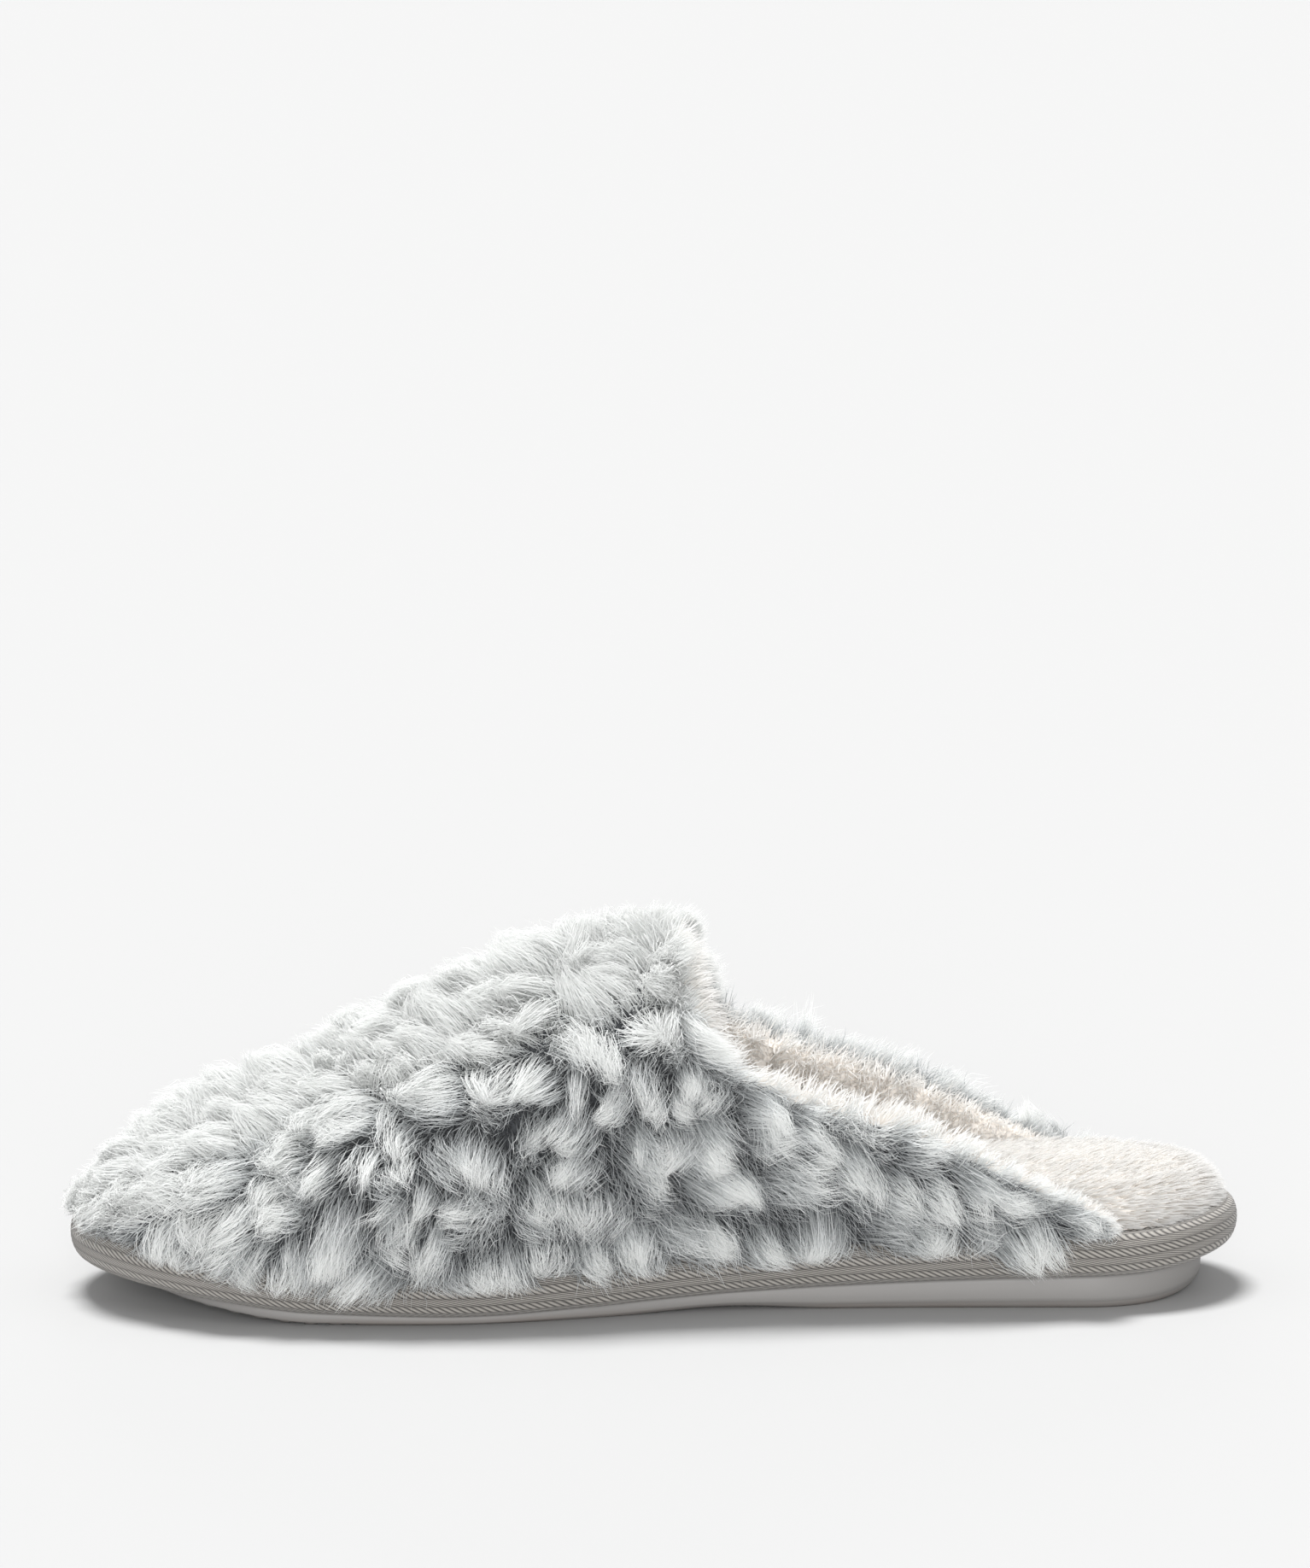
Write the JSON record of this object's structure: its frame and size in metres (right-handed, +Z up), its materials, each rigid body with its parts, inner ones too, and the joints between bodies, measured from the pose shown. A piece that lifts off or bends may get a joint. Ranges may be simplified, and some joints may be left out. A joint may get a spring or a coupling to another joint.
{
  "type": "fluffy scuff slipper",
  "caption": "Backless scuff slipper, right foot, with a deep tufted pile upper, a plush cushioned insole, a tape-bound edge and a thin ribbed outsole.",
  "frame": {"origin": "middle of the flat tread under the heel, on the floor", "axes": "+X from toe to heel, +Y towards the little-toe side, +Z up"},
  "size_m": [0.2594, 0.113, 0.083],
  "materials": {
    "outsole": "matt moulded foam rubber",
    "edge_binding": "herringbone woven tape",
    "insole": "short plush",
    "upper": "deep tufted pile, dark roots and white tips"
  },
  "bodies": {
    "root": {"outsole": "outsole", "edge_binding": "edge_binding", "insole": "insole", "upper": "upper"}
  },
  "joints": []
}
